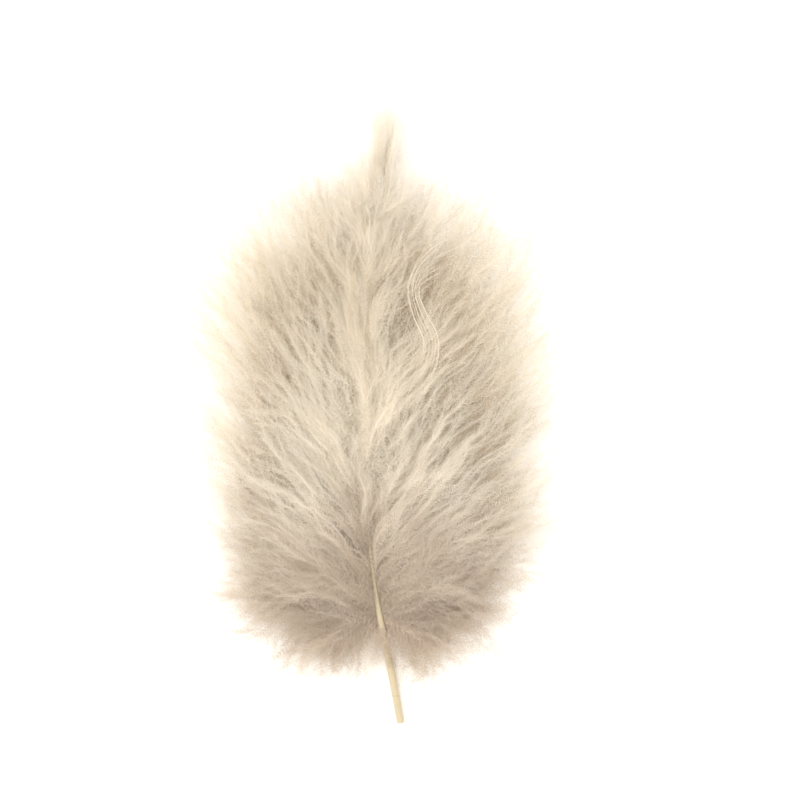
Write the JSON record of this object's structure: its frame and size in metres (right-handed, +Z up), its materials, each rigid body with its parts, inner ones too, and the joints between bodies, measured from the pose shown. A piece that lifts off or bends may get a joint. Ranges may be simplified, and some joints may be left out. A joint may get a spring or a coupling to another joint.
{
  "type": "marabou feather",
  "caption": "Downy plume that lies on a table: a short bare quill, a tapering shaft and a broad soft vane of loose curling barbs.",
  "frame": {"origin": "middle of the feather's box, at the table that it lies on", "axes": "+Y along the shaft from the cut quill end to the tip, +Z up from the table, +X to the right seen from above with the tip away"},
  "size_m": [0.0965, 0.1544, 0.0168],
  "materials": {
    "down": "matte",
    "quill": "satin"
  },
  "bodies": {
    "root": {"feather": "down"}
  },
  "joints": []
}
